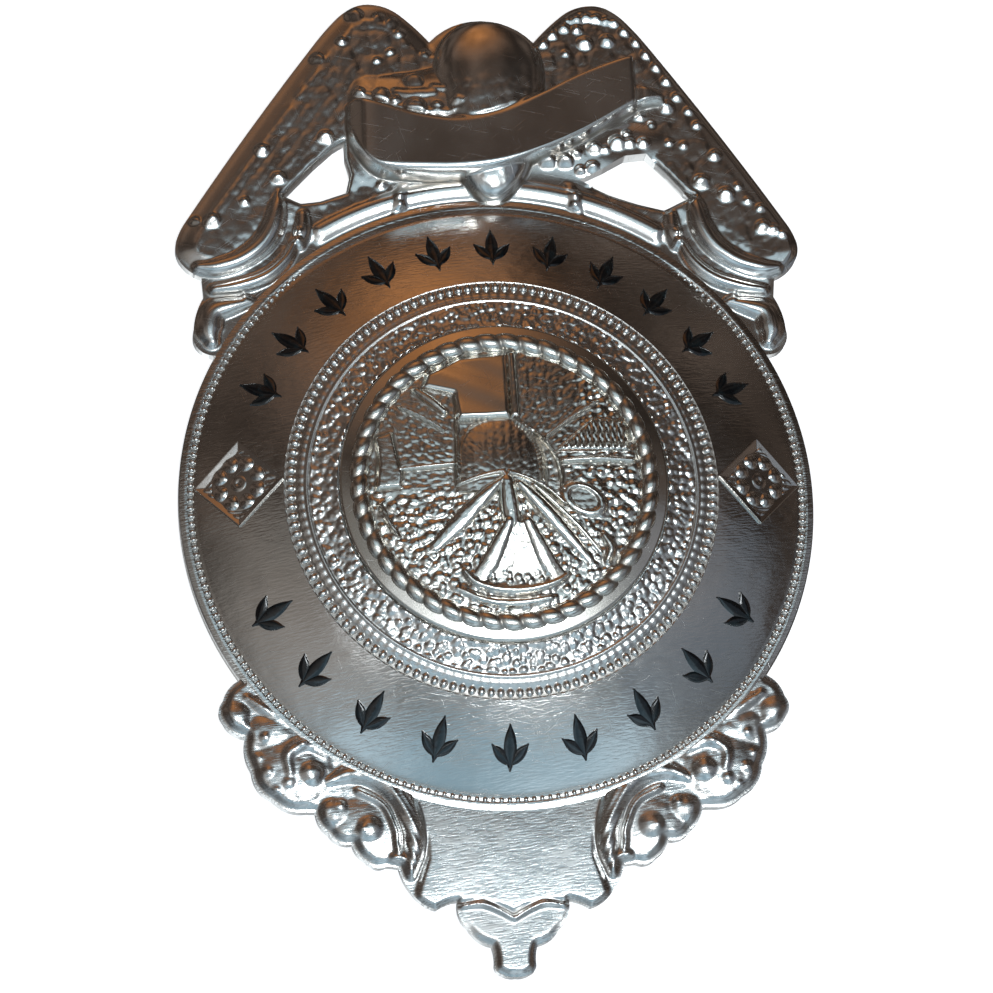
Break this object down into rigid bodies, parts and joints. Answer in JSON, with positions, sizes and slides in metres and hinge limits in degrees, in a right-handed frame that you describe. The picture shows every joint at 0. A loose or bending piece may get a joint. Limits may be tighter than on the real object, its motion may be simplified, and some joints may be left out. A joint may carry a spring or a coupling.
{
  "type": "firefighter badge",
  "caption": "Die-struck metal badge with a domed round field, an eagle crest with a blank ribbon, bottom scrolls, an applied fire scramble seal, black enamel marks and a brooch pin.",
  "frame": {"origin": "in the plane of the badge's back, under the centre of the round field", "axes": "+Z out of the badge's face, +Y towards the eagle's head, +X to the right seen from the front"},
  "size_m": [0.0456, 0.0727, 0.0071],
  "materials": {
    "plated_metal": "worn bright nickel plate with fine scratches",
    "seal_metal": "struck bright nickel, stippled between the figures",
    "black_enamel": "glossy blue-black enamel",
    "pin_wire": "drawn nickel wire"
  },
  "bodies": {
    "root": {"plate": "plated_metal", "centre_seal": "seal_metal", "enamel_upper": "black_enamel", "enamel_lower": "black_enamel", "pin_back": "pin_wire"}
  },
  "joints": []
}
